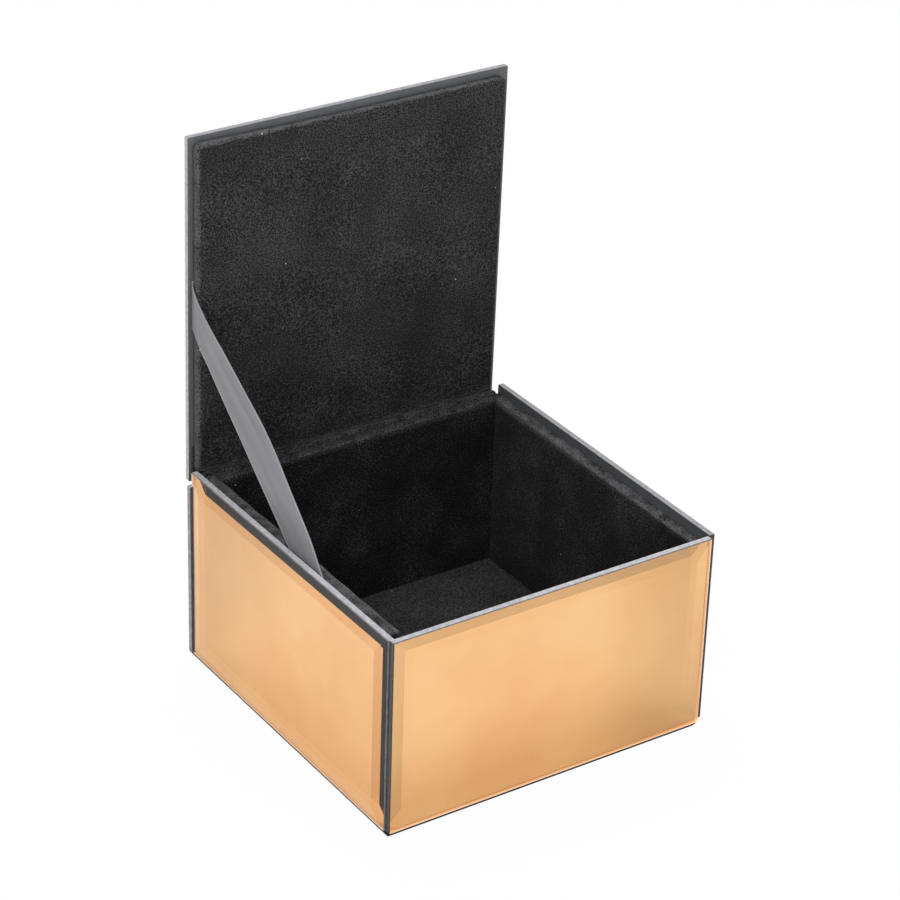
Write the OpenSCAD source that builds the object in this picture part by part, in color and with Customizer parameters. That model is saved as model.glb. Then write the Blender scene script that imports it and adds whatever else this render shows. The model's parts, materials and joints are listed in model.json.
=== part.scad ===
// Square keepsake box in bevelled copper mirror glass, lined with black velvet.
// The lid stands open on a cloth hinge and is held by a satin ribbon stay.
// Millimetres, +Z up. The origin is the centre of the base, on the table.
// X runs from left to right and Y from front to back.

/* [Box] */
// Width over the flat faces of the side panels
box_w = 120; // [90:1:200]
// Depth over the flat faces of the front and back panels
box_d = 120; // [90:1:200]
// Height of the rim above the table
rim_z = 67.5; // [50:0.5:120]

/* [Bevelled glass] */
// Thickness of the mirror glass
glass_t = 3; // [2.5:0.5:5]
// Width of the bevel along each edge
bevel_w = 6; // [3:0.5:10]
// Depth of the bevel at the edge
bevel_depth = 1; // [0.4:0.1:1.4]
// Width of the ground arris on each edge
arris = 0.2; // [0.1:0.05:0.3]
// Radius of the corners of each panel
corner_r = 0.8; // [0.3:0.1:2]
// Distance of the front panel's ends from the outside of the side panels
front_inset = 2.5; // [0:0.5:3]
// Sideways offset at which the front panel is glued
front_shift = -1; // [-1:0.25:1]
// Distance of the back panel's ends from the outside of the side panels
back_inset = 0.5; // [0:0.5:3]

/* [Lid] */
// Angle at which the lid stands open
open_angle = 89.2; // [0:0.1:94]
// Distance of the lid's sides from the outside of the box
lid_side_inset = 2.5; // [0:0.5:3]
// Distance of the lid's front edge from the outside of the box
lid_front_inset = 1.5; // [0:0.5:3]
// Length of the lid behind the hinge line
lid_tail = 2; // [1.5:0.25:3]
// Gap between the closed lid and the rim
lid_gap = 0.3; // [0.2:0.1:1]
// Gap between the open lid and the back panel
lid_air = 1.25; // [0.8:0.05:3]

/* [Lining] */
// Thickness of the grey board behind the velvet
board_t = 2.5; // [1.5:0.1:4]
// Thickness of the velvet on the walls and floor
velvet_t = 1; // [0.6:0.1:1.5]
// Depth of the lining's top edge below the rim
lining_drop = 3; // [2.9:0.1:8]
// Length of velvet turned down behind each board
turn_len = 10; // [5:1:20]
// Thickness of the turned-down velvet, pressed flat
turn_t = 0.5; // [0.3:0.1:0.8]
// Radius of the velvet over the top edge of a board
velvet_r = 1.2; // [0.4:0.1:1.5]
// Thickness of the base board
base_t = 2.4; // [1.5:0.1:5]
// Thickness of the felt under the box
felt_t = 0.6; // [0.4:0.1:2]
// Distance of the felt's edge from the edge of the glass
felt_inset = 1.5; // [0.2:0.1:5]

/* [Lid pad] */
// Thickness of the board in the lid pad
pad_board_t = 1.5; // [1.2:0.1:2]
// Thickness of the velvet on the lid pad
pad_velvet_t = 1.1; // [0.6:0.1:1.2]
// Distance of the pad from the sides of the lid
pad_side_inset = 1.75; // [1.5:0.25:6]
// Distance of the pad from the lid's front edge
pad_front_inset = 3; // [2.5:0.25:8]
// Distance of the pad from the lid's rear edge
pad_rear_inset = 4; // [3.5:0.25:8]

/* [Cloth hinge] */
// Thickness of the hinge cloth
hinge_t = 0.6; // [0.4:0.05:0.8]
// Distance of the hinge cloth's ends from the side panels
hinge_end_gap = 0.5; // [0.3:0.1:5]
// Height of hinge cloth glued behind the back lining
hinge_box_leaf = 20; // [10:1:35]
// Length of hinge cloth glued to the lid
hinge_lid_leaf = 12; // [8:1:25]
// Distance of the back panel's top edge below the hinge line
hinge_rise = 1.5; // [1:0.1:2]

/* [Ribbon stay] */
// Width of the ribbon
ribbon_w = 12; // [6:1:16]
// Thickness of the ribbon
ribbon_t = 0.4; // [0.3:0.05:0.5]
// Place along Y where the ribbon leaves the left lining
ribbon_box_y = -11; // [-20:0.5:0]
// Distance from the hinge line to where the ribbon leaves the lid
ribbon_lid_reach = 60; // [50:1:70]
// How far the upper edge bows in over the box
ribbon_bow = 2.8; // [0:0.1:4]
// Length of ribbon glued behind the lining
ribbon_box_tail = 15; // [8:1:25]
// Length of ribbon glued under the lid pad
ribbon_lid_tail = 16; // [8:1:25]
// Clearance of the pockets round the glued ribbon
pocket_gap = 0.1; // [0.05:0.05:0.2]

/* [Hidden] */
$fn = 48;

// Colours of the materials
copper = "#EBB988";
board_grey = "#77736C";
velvet_black = "#232324";
ribbon_grey = "#94959B";
felt_black = "#1C1B1C";

// Inner faces of the glass walls
inner_x = box_w / 2 - glass_t;
inner_y = box_d / 2 - glass_t;
edge_t = glass_t - bevel_depth;   // thickness left at the edge of a panel
glass_z = felt_t;                 // the glass stands on the felt

// Hinge line: level with the inner face of the back panel
hinge_y = inner_y;
lid_under = rim_z + lid_gap;      // inner face of the closed lid
hinge_z = lid_under - glass_t - lid_air;
back_top = hinge_z - hinge_rise;

// Closed lid
lid_w = box_w - 2 * lid_side_inset;
lid_front_y = -box_d / 2 + lid_front_inset;
lid_rear_y = hinge_y + lid_tail;
lid_l = lid_rear_y - lid_front_y;
lid_mid_y = (lid_rear_y + lid_front_y) / 2;

// Lid pad
pad_t = pad_board_t + pad_velvet_t;
pad_w = lid_w - 2 * pad_side_inset;
pad_l = lid_l - pad_front_inset - pad_rear_inset;
pad_mid_y = lid_mid_y + (pad_front_inset - pad_rear_inset) / 2;

// Lining
floor_z = felt_t + base_t;        // top of the base board
lining_t = board_t + velvet_t;
lining_top = rim_z - lining_drop;
floor_w = box_w - 2 * glass_t - 2 * lining_t;
floor_d = box_d - 2 * glass_t - 2 * lining_t;

// Ribbon stay, from the left lining to the left side of the lid pad
ribbon_x = -inner_x + ribbon_t / 2;
crease_x = -(pad_w / 2 + ribbon_t);
crease_shut_y = hinge_y - ribbon_lid_reach;
crease_open = opened_point([crease_x, crease_shut_y, lid_under - ribbon_t / 2]);
ribbon_pitch = atan2(crease_open[2] - lining_top, crease_open[1] - ribbon_box_y);
exit_half = ribbon_w / 2 / sin(ribbon_pitch);     // half the width cut level at the lining
crease_half = ribbon_w / 2 / cos(ribbon_pitch);   // half the length of the crease
ribbon_steps = 16;

// A point of the closed lid, turned about the hinge line to the open lid
function opened_point(p) =
    let (y = p[1] - hinge_y, z = p[2] - hinge_z, c = cos(open_angle), s = sin(open_angle))
    [p[0], hinge_y + y * c + z * s, hinge_z - y * s + z * c];

function mix(a, b, t) = a * (1 - t) + b * t;

// Points of a circular arc about [cy, cz]
function arc(cy, cz, r, from, to, steps) =
    [for (i = [0:steps]) let (a = mix(from, to, i / steps)) [cy + r * cos(a), cz + r * sin(a)]];

// Section across a slab: both sides follow the same edge, given as [inset, height]
function slab_section(width, edge) = concat(
    [for (p = edge) [width / 2 - p[0], p[1]]],
    [for (i = [len(edge) - 1:-1:0]) [edge[i][0] - width / 2, edge[i][1]]]);

// Edge of a glass panel: ground edge with two arrises, then the bevel
glass_edge = [
    [arris, 0], [0, arris], [0, edge_t - arris],
    [arris, edge_t + arris * bevel_depth / bevel_w], [bevel_w, glass_t]
];

// Edge of the lid pad's velvet, rounded on its lower side
pad_edge = concat(arc(pad_velvet_t, pad_velvet_t, pad_velvet_t, 270, 180, 5), [[0, pad_t]]);

// ---------- shapes that repeat ----------

// Slab lying on XY whose four sides follow one edge, mitred at the corners
module edged_slab(w, l, edge) {
    intersection() {
        rotate([90, 0, 90]) translate([0, 0, -w / 2])
            linear_extrude(w) polygon(slab_section(l, edge));
        rotate([90, 0, 0]) translate([0, 0, -l / 2])
            linear_extrude(l) polygon(slab_section(w, edge));
    }
}

module rounded_outline(w, l, r) {
    square([w - 2 * r, l], center = true);
    square([w, l - 2 * r], center = true);
    for (x = [-1, 1], y = [-1, 1])
        translate([x * (w / 2 - r), y * (l / 2 - r)]) circle(r);
}

// Mirror glass panel, mirrored face down and bevelled face up
module glass_panel(w, l) {
    intersection() {
        edged_slab(w, l, glass_edge);
        linear_extrude(glass_t) rounded_outline(w, l, corner_r);
    }
}

// Stands a lying panel up, its upper face outwards; 0 is the front, 90 the right
module stand(turn) {
    rotate([90, 0, turn]) children();
}

// Glass wall from the felt up to a height, its inner face at a distance from the middle
module glass_wall(turn, reach, w, top, shift = 0) {
    rotate([0, 0, turn]) translate([shift, -reach, (glass_z + top) / 2])
        stand(0) glass_panel(w, top - glass_z);
}

// Section of a lining board: u runs inwards from the glass. Its back is cut away
// at the top for what is tucked behind it.
module board_section(tuck_t, tuck_len) {
    difference() {
        translate([0, floor_z]) square([board_t, lining_top - velvet_t - floor_z]);
        translate([-1, lining_top - tuck_len]) square([1 + tuck_t, tuck_len]);
    }
}

// Section of the velvet over a board: its face, its rounded top and its turned-down end
module velvet_section(back_u, tuck_t, tuck_len) {
    face = concat(
        [[back_u, lining_top - tuck_len], [back_u, lining_top - velvet_t / 2]],
        arc(back_u + velvet_t / 2, lining_top - velvet_t / 2, velvet_t / 2, 180, 90, 4),
        arc(lining_t - velvet_r, lining_top - velvet_r, velvet_r, 90, 0, 6),
        [[lining_t, floor_z], [board_t, floor_z], [board_t, lining_top - tuck_len]]);
    difference() {
        polygon(face);
        board_section(tuck_t, tuck_len);
    }
}

// Runs a lining section along a wall, its outer side on the inner face of the glass
module along_wall(turn, reach, length) {
    rotate([0, 0, turn]) translate([-length / 2, -reach, 0])
        rotate([90, 0, 90]) linear_extrude(length) children();
}

// Turns what belongs to the closed lid to the open angle
module opened() {
    translate([0, hinge_y, hinge_z]) rotate([-open_angle, 0, 0])
        translate([0, -hinge_y, -hinge_z]) children();
}

// Ribbon where it is glued behind the left lining, down from the lining's top edge
module ribbon_box_end(gap) {
    run = ribbon_box_tail;
    drop = [-run * cos(ribbon_pitch), -run * sin(ribbon_pitch)];
    half = exit_half + 2 * gap;
    top = [[ribbon_box_y - half, lining_top], [ribbon_box_y + half, lining_top]];
    over = gap > 0 ? 1 : 0;
    translate([-inner_x - over, 0, 0]) rotate([90, 0, 90])
        linear_extrude(ribbon_t + gap + over)
            polygon([top[0] - drop * over / run * 5, top[1] - drop * over / run * 5,
                     top[1] + drop * (1 + gap), top[0] + drop * (1 + gap)]);
}

// Ribbon where it is glued between the lid glass and the lid pad, on the closed lid
module ribbon_lid_end(gap) {
    run = ribbon_lid_tail;
    slant = [run * cos(ribbon_pitch), -run * sin(ribbon_pitch)];
    half = crease_half + 2 * gap;
    start = [[crease_x - ribbon_t / 2, crease_shut_y - half], [crease_x - ribbon_t / 2, crease_shut_y + half]];
    over = gap > 0 ? 1 : 0;
    translate([0, 0, lid_under - ribbon_t - gap])
        linear_extrude(ribbon_t + gap + over)
            polygon([start[0], start[1], start[1] + slant * (1 + gap), start[0] + slant * (1 + gap)]);
}

// Free length of the ribbon: a strip between its lower and upper edge,
// whose upper edge bows in over the box
function ribbon_ring(t) =
    let (x = mix(ribbon_x, crease_x, t),
         low = [x, mix(ribbon_box_y + exit_half, crease_open[1], t),
                mix(lining_top, crease_open[2] - crease_half, t)],
         high = [x + ribbon_bow * sin(180 * t), mix(ribbon_box_y - exit_half, crease_open[1], t),
                 mix(lining_top, crease_open[2] + crease_half, t)],
         side = [ribbon_t / 2, 0, 0])
    [low - side, low + side, high + side, high - side];

module ribbon_span() {
    points = [for (i = [0:ribbon_steps]) each ribbon_ring(i / ribbon_steps)];
    sides = [for (i = [0:ribbon_steps - 1], k = [0:3])
        let (a = 4 * i + k, b = 4 * i + (k + 1) % 4) each [[a, b, b + 4], [a, b + 4, a + 4]]];
    end = 4 * ribbon_steps;
    polyhedron(points, concat([[3, 2, 1, 0]], sides, [[end, end + 1, end + 2, end + 3]]));
}

// ---------- base ----------

module base_felt() {
    w = box_w - 2 * bevel_depth - 2 * felt_inset;
    d = box_d - 2 * bevel_depth - 2 * felt_inset;
    color(felt_black) linear_extrude(felt_t) rounded_outline(w, d, corner_r);
}

module base_board() {
    color(board_grey) translate([-inner_x, -inner_y, felt_t]) cube([2 * inner_x, 2 * inner_y, base_t]);
}

// ---------- glass ----------

module front_glass() {
    color(copper) glass_wall(0, inner_y, box_w - 2 * front_inset, rim_z, front_shift);
}

module back_glass() {
    color(copper) glass_wall(180, inner_y, box_w - 2 * back_inset, back_top);
}

module left_glass() {
    color(copper) glass_wall(-90, inner_x, 2 * inner_y, rim_z);
}

module right_glass() {
    color(copper) glass_wall(90, inner_x, 2 * inner_y, rim_z);
}

module lid_glass() {
    color(copper) opened() translate([0, lid_mid_y, lid_under]) glass_panel(lid_w, lid_l);
}

// ---------- lining ----------

module front_board() {
    color(board_grey) along_wall(0, inner_y, 2 * inner_x) board_section(turn_t, turn_len);
}

module front_velvet() {
    color(velvet_black) along_wall(0, inner_y, 2 * inner_x) velvet_section(0, turn_t, turn_len);
}

module back_board() {
    color(board_grey) along_wall(180, inner_y, 2 * inner_x) board_section(hinge_t, hinge_box_leaf);
}

module back_velvet() {
    color(velvet_black) along_wall(180, inner_y, 2 * inner_x)
        velvet_section(hinge_t, hinge_t, hinge_box_leaf);
}

module left_board() {
    color(board_grey) difference() {
        along_wall(-90, inner_x, floor_d) board_section(turn_t, turn_len);
        ribbon_box_end(pocket_gap);
    }
}

module left_velvet() {
    color(velvet_black) difference() {
        along_wall(-90, inner_x, floor_d) velvet_section(0, turn_t, turn_len);
        ribbon_box_end(pocket_gap);
    }
}

module right_board() {
    color(board_grey) along_wall(90, inner_x, floor_d) board_section(turn_t, turn_len);
}

module right_velvet() {
    color(velvet_black) along_wall(90, inner_x, floor_d) velvet_section(0, turn_t, turn_len);
}

module floor_velvet() {
    color(velvet_black) translate([-floor_w / 2, -floor_d / 2, floor_z]) cube([floor_w, floor_d, velvet_t]);
}

// ---------- cloth hinge ----------

module hinge_profile() {
    leaf_y = inner_y - hinge_t / 2;                  // middle of the leaf behind the lining
    lid_leaf_y = opened_point([0, hinge_y, lid_under - hinge_t / 2])[1];
    fold_r = (lid_leaf_y - leaf_y) / 2;
    fold_y = (lid_leaf_y + leaf_y) / 2;
    fold_z = back_top + hinge_t / 2;
    translate([inner_y - hinge_t, lining_top - hinge_box_leaf])
        square([hinge_t, fold_z - lining_top + hinge_box_leaf]);
    polygon(concat(arc(fold_y, fold_z, fold_r + hinge_t / 2, 180, 0, 16),
                   arc(fold_y, fold_z, fold_r - hinge_t / 2, 0, 180, 16)));
}

module hinge_cloth() {
    w = 2 * (inner_x - hinge_end_gap);
    color(velvet_black) {
        translate([-w / 2, 0, 0]) rotate([90, 0, 90]) linear_extrude(w) hinge_profile();
        opened() hinge_lid_end(w);
    }
}

// Leaf glued to the underside of the closed lid
module hinge_lid_end(w) {
    y = lid_rear_y - arris - hinge_lid_leaf;
    translate([-w / 2, y, lid_under - hinge_t]) cube([w, hinge_lid_leaf, hinge_t]);
}

// ---------- lid pad ----------

module pad_pockets() {
    ribbon_lid_end(pocket_gap);
    hinge_lid_end(2 * inner_x + 2);
}

module lid_board() {
    w = pad_w - 2 * pad_velvet_t;
    l = pad_l - 2 * pad_velvet_t;
    color(board_grey) opened() difference() {
        translate([-w / 2, pad_mid_y - l / 2, lid_under - pad_board_t]) cube([w, l, pad_board_t]);
        pad_pockets();
    }
}

module lid_velvet() {
    w = pad_w - 2 * pad_velvet_t;
    l = pad_l - 2 * pad_velvet_t;
    color(velvet_black) opened() difference() {
        translate([0, pad_mid_y, lid_under - pad_t]) edged_slab(pad_w, pad_l, pad_edge);
        translate([-w / 2, pad_mid_y - l / 2, lid_under - pad_board_t]) cube([w, l, pad_board_t + 1]);
        pad_pockets();
    }
}

// ---------- ribbon stay ----------

module ribbon_stay() {
    color(ribbon_grey) {
        ribbon_box_end(0);
        ribbon_span();
        opened() ribbon_lid_end(0);
    }
}

base_felt();
base_board();
front_glass();
back_glass();
left_glass();
right_glass();
front_board();
back_board();
left_board();
right_board();
front_velvet();
back_velvet();
left_velvet();
right_velvet();
floor_velvet();
hinge_cloth();
ribbon_stay();
lid_glass();
lid_board();
lid_velvet();
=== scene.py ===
import json
import math
import bmesh
import bpy
from mathutils import Matrix, Vector, noise


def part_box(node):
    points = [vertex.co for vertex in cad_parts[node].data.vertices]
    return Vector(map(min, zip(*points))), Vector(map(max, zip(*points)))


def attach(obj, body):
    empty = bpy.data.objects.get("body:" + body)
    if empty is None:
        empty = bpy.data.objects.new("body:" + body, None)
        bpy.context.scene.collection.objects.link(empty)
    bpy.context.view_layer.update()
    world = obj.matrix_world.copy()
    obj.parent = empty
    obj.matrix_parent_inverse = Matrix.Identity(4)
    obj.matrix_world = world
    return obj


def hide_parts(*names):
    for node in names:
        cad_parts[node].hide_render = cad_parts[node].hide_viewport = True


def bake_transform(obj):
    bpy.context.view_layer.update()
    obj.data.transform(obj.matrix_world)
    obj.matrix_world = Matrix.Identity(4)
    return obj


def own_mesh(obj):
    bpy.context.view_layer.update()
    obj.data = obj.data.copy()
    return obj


mm = 0.001
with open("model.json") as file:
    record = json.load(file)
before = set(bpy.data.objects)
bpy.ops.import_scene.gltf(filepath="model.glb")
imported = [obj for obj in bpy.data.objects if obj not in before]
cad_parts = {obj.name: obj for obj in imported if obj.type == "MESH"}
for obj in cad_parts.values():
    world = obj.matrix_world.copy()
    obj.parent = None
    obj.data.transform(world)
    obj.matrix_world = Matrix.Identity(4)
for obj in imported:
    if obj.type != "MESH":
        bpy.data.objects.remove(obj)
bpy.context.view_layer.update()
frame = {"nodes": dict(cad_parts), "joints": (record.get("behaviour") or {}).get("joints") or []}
hinge = frame["joints"][0]
hingePoint = Vector(hinge["pos_m"])
openAngle = math.radians(hinge["range_deg"][1])   # from shut to the pose of the photograph
print("frame loaded")


# Camera, floor and light

photoView = {
    "target": (23.86, 35.63, 62.25),                         # mm, on the photograph's middle line
    "azimuth": -34.535, "elevation": 29.006, "roll": 1.928,  # degrees
    "distance": 1019.73, "lens": 127.29, "nearest": 10,      # mm
}


def addCamera(view):
    azimuth, elevation, roll = (math.radians(view[k]) for k in ("azimuth", "elevation", "roll"))
    back = Vector((math.sin(azimuth) * math.cos(elevation),
                   -math.cos(azimuth) * math.cos(elevation), math.sin(elevation)))
    right = Vector((0, 0, 1)).cross(back).normalized()
    up = back.cross(right)
    tiltedRight = right * math.cos(roll) + up * math.sin(roll)
    tiltedUp = up * math.cos(roll) - right * math.sin(roll)
    place = Matrix.Translation((Vector(view["target"]) + back * view["distance"]) * mm)
    bpy.ops.object.camera_add()
    camera = bpy.context.object
    camera.name = "photoCamera"
    camera.matrix_world = place @ Matrix((tiltedRight, tiltedUp, back)).transposed().to_4x4()
    camera.data.lens = view["lens"]
    camera.data.clip_start = view["nearest"] * mm
    bpy.context.scene.camera = camera


def linear(hexColour):
    parts = [int(hexColour[i:i + 2], 16) / 255 for i in (1, 3, 5)]
    return tuple(c / 12.92 if c <= 0.04045 else ((c + 0.055) / 1.055) ** 2.4 for c in parts) + (1.0,)


firstColour, secondColour, mixedColour = 6, 7, 2   # two inputs and the output of a mix of colours


def addNode(tree, kind, settings=None, links=None):
    node = tree.nodes.new(kind)
    for key, value in (settings or {}).items():
        if isinstance(key, int) or key in node.inputs:
            node.inputs[key].default_value = value
        else:
            setattr(node, key, value)
    for key, source in (links or {}).items():
        tree.links.new(source, node.inputs[key])
    return node


def newMaterial(name):
    material = bpy.data.materials.new(name)
    material.use_nodes = True
    material.node_tree.nodes.clear()
    return material, material.node_tree


def addSurface(tree, settings, links=None):
    surface = addNode(tree, "ShaderNodeBsdfPrincipled", settings, links)
    addNode(tree, "ShaderNodeOutputMaterial", links={"Surface": surface.outputs[0]})


studio = {
    "floorColour": "#F0EFED", "floorSize": 6.0,   # m
    # share of the floor's look that is its own glow, for the camera and for the mirrors, and how
    # strong that glow is to the mirrors on the dim line, a painted shadow, and away from it
    "cameraGlow": 0.96, "mirrorGlow": 0.41, "glow": (0.5, 0.94),
    "dimAcross": (0.75, 0.66, 0), "dimLine": 30 * mm, "dimReach": (30 * mm, 65 * mm),
    # a painted warm reflection of the copper on the floor, seen only in the mirrors, within these
    # distances
    "warmGlow": "#FFF0D2", "warmReach": (66 * mm, 125 * mm),
    "skyColour": "#FFFFFF", "skyLight": 0.6,
    "lamps": [  # a soft box high over the back, and a weaker one at the left in front (m, W)
        {"name": "keySoftBox", "place": (0.12, 0.5, 1.6), "size": 0.8, "power": 13.5},
        {"name": "fillSoftBox", "place": (-0.8, -0.95, 1.0), "size": 1.0, "power": 8.0},
    ],
}


def rayShare(tree, camera, mirror):
    # One value for rays from the camera, one for rays off a mirror or through glass, else nothing
    path = addNode(tree, "ShaderNodeLightPath")
    bent = addNode(tree, "ShaderNodeMath", {"operation": "MAXIMUM"},
                   {0: path.outputs["Is Glossy Ray"], 1: path.outputs["Is Transmission Ray"]})
    seen = addNode(tree, "ShaderNodeMath", {"operation": "MULTIPLY", 1: mirror},
                   {0: bent.outputs[0]})
    return addNode(tree, "ShaderNodeMath", {"operation": "MULTIPLY_ADD", 1: camera},
                   {0: path.outputs["Is Camera Ray"], 2: seen.outputs[0]}).outputs[0]


def floorGlow(tree, settings):
    # What the mirrors see of the floor: a painted shadow along a line from the front right to the
    # rear left, and a painted warm glow beside the box, where its copper shines on it. The camera
    # sees an even white
    place = addNode(tree, "ShaderNodeTexCoord").outputs["Object"]
    across = addNode(tree, "ShaderNodeVectorMath",
                     {"operation": "DOT_PRODUCT", 1: settings["dimAcross"]}, {0: place})
    shifted = addNode(tree, "ShaderNodeMath", {"operation": "SUBTRACT", 1: settings["dimLine"]},
                      {0: across.outputs["Value"]})
    away = addNode(tree, "ShaderNodeMath", {"operation": "ABSOLUTE"}, {0: shifted.outputs[0]})
    (dim, full), (near, far) = settings["glow"], settings["dimReach"]
    strength = addNode(tree, "ShaderNodeMapRange",
                       {"interpolation_type": "SMOOTHSTEP", "From Min": near, "From Max": far,
                        "To Min": dim, "To Max": full}, {"Value": away.outputs[0]})
    distance = addNode(tree, "ShaderNodeVectorMath", {"operation": "LENGTH"}, {0: place})
    near, far = settings["warmReach"]
    beside = addNode(tree, "ShaderNodeMapRange",
                     {"From Min": near, "From Max": far, "To Min": 1.0, "To Max": 0.0},
                     {"Value": distance.outputs["Value"]})
    seen = addNode(tree, "ShaderNodeLightPath").outputs["Is Camera Ray"]
    warm = addNode(tree, "ShaderNodeMath", {"operation": "MULTIPLY_ADD", 1: -1.0},
                   {0: seen, 2: beside.outputs[0]})
    shown = addNode(tree, "ShaderNodeMath", {"operation": "MAXIMUM"},
                    {0: seen, 1: strength.outputs[0]})
    colour = addNode(tree, "ShaderNodeMix",
                     {"data_type": "RGBA", firstColour: linear("#FFFFFF"),
                      secondColour: linear(settings["warmGlow"])}, {0: warm.outputs[0]})
    return {"Strength": shown.outputs[0], "Color": colour.outputs[mixedColour]}


def addStudio(settings):
    bpy.ops.mesh.primitive_plane_add(size=settings["floorSize"])
    floor = bpy.context.object
    floor.name = "floor"
    material, tree = newMaterial("paleStudioFloor")
    matt = addNode(tree, "ShaderNodeBsdfDiffuse", {"Color": linear(settings["floorColour"])})
    glow = addNode(tree, "ShaderNodeEmission", links=floorGlow(tree, settings))
    mixed = addNode(tree, "ShaderNodeMixShader",
                    links={0: rayShare(tree, settings["cameraGlow"], settings["mirrorGlow"]),
                           1: matt.outputs[0], 2: glow.outputs[0]})
    addNode(tree, "ShaderNodeOutputMaterial", links={"Surface": mixed.outputs[0]})
    floor.data.materials.append(material)

    world = bpy.data.worlds.new("paleStudio")
    bpy.context.scene.world = world
    world.use_nodes = True
    tree = world.node_tree
    tree.nodes.clear()
    strength = addNode(tree, "ShaderNodeMapRange", {"To Min": settings["skyLight"], "To Max": 1.0},
                       {"Value": rayShare(tree, 1.0, 1.0)})
    sky = addNode(tree, "ShaderNodeBackground", {"Color": linear(settings["skyColour"])},
                  {"Strength": strength.outputs[0]})
    addNode(tree, "ShaderNodeOutputWorld", links={"Surface": sky.outputs[0]})

    for lamp in settings["lamps"]:
        bpy.ops.object.light_add(type="AREA", location=lamp["place"])
        light = bpy.context.object
        light.name = lamp["name"]
        light.data.size = lamp["size"]
        light.data.energy = lamp["power"]
        light.rotation_mode = "QUATERNION"
        light.rotation_quaternion = Vector(lamp["place"]).to_track_quat("Z", "Y")
    bpy.context.scene.view_settings.view_transform = "Standard"


addCamera(photoView)
addStudio(studio)
print("camera and studio ready")


# Materials

def makeClearGlass():
    # Float glass, ground and polished on the bevels: clear, with sharp reflections
    material, tree = newMaterial("polishedFloatGlass")
    addSurface(tree, {"Base Color": linear("#FBFFFC"), "Roughness": 0.0, "IOR": 1.47,
                      "Transmission Weight": 1.0})
    return material


wheel = {"grain": 1.2 * mm, "scratch": 0.05 * mm}   # the grain is drawn coarser than it is, to show


def makeGroundEdge(name, dark, pale, inside, paintedGlow):
    # Edge of float glass ground with a fine wheel: satin and grained from outside, and from
    # inside the pane a soft mirror with a painted glow in place of the light gathered by the glass
    material, tree = newMaterial(name)
    place = addNode(tree, "ShaderNodeTexCoord").outputs["Object"]
    grain = addNode(tree, "ShaderNodeTexNoise", {"Scale": 1 / wheel["grain"], "Detail": 3.0},
                    {"Vector": place})
    colour = addNode(tree, "ShaderNodeValToRGB", links={0: grain.outputs[0]})
    colour.color_ramp.elements[0].position = 0.35
    colour.color_ramp.elements[0].color = linear(dark)
    colour.color_ramp.elements[1].position = 0.65
    colour.color_ramp.elements[1].color = linear(pale)
    within = addNode(tree, "ShaderNodeNewGeometry").outputs["Backfacing"]
    mixed = addNode(tree, "ShaderNodeMix", {"data_type": "RGBA", secondColour: linear(inside)},
                    {0: within, firstColour: colour.outputs[0]})
    bump = addNode(tree, "ShaderNodeBump", {"Strength": 0.15, "Distance": wheel["scratch"]},
                   {"Height": grain.outputs[0]})
    # painted glow: the inside of the edge glows, though it is no lamp
    glow = addNode(tree, "ShaderNodeMath", {"operation": "MULTIPLY", 1: paintedGlow}, {0: within})
    addSurface(tree, {"Roughness": 0.32, "IOR": 1.52, "Emission Color": linear(inside)},
               {"Base Color": mixed.outputs[mixedColour], "Metallic": within,
                "Emission Strength": glow.outputs[0], "Normal": bump.outputs[0]})
    return material


copper = {"deep": "#F9BC80", "pale": "#FFC98F", "cloud": 36 * mm, "roughness": (0.02, 0.08)}


def makeCopperCoat():
    # Copper laid down on the back of the glass as in a mirror: bright, warm and a little uneven
    material, tree = newMaterial("copperMirrorCoat")
    place = addNode(tree, "ShaderNodeTexCoord").outputs["Object"]
    cloud = addNode(tree, "ShaderNodeTexNoise",
                    {"Scale": 1 / copper["cloud"], "Detail": 3.0, "Roughness": 0.55},
                    {"Vector": place})
    colour = addNode(tree, "ShaderNodeValToRGB", links={0: cloud.outputs[0]})
    colour.color_ramp.elements[0].position = 0.3
    colour.color_ramp.elements[0].color = linear(copper["deep"])
    colour.color_ramp.elements[1].position = 0.7
    colour.color_ramp.elements[1].color = linear(copper["pale"])
    smooth, rough = copper["roughness"]
    roughness = addNode(tree, "ShaderNodeMapRange", {"To Min": smooth, "To Max": rough},
                        {"Value": cloud.outputs[0]})
    addSurface(tree, {"Metallic": 1.0},
               {"Base Color": colour.outputs[0], "Roughness": roughness.outputs[0]})
    return material


paint = {"dark": "#4E5154", "pale": "#626568", "mottle": 3.85 * mm}


def makeMirrorPaint():
    # Grey protective paint brushed over the copper: smooth and half matt
    material, tree = newMaterial("mirrorBackPaint")
    place = addNode(tree, "ShaderNodeTexCoord").outputs["Object"]
    mottle = addNode(tree, "ShaderNodeTexNoise", {"Scale": 1 / paint["mottle"], "Detail": 4.0},
                     {"Vector": place})
    colour = addNode(tree, "ShaderNodeValToRGB", links={0: mottle.outputs[0]})
    colour.color_ramp.elements[0].color = linear(paint["dark"])
    colour.color_ramp.elements[1].color = linear(paint["pale"])
    addSurface(tree, {"Roughness": 0.45}, {"Base Color": colour.outputs[0]})
    return material


pile = {
    "tuft": 0.52 * mm, "nap": 0.5 * mm,   # drawn coarser than the real pile, so that tufts show
    "patch": 16 * mm, "lintSpacing": 9 * mm, "lint": 0.26 * mm,
    # shades of the laid pile, from the hollows between tufts to their tips, and where each starts
    "laid": [(0.54, "#020202"), (0.65, "#080808"), (0.8, "#545456")],
    # the pale colour of pile that stands open, also used for painted light and sheen
    "open": "#646466", "lintColour": "#C8C8C6",
}


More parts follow.
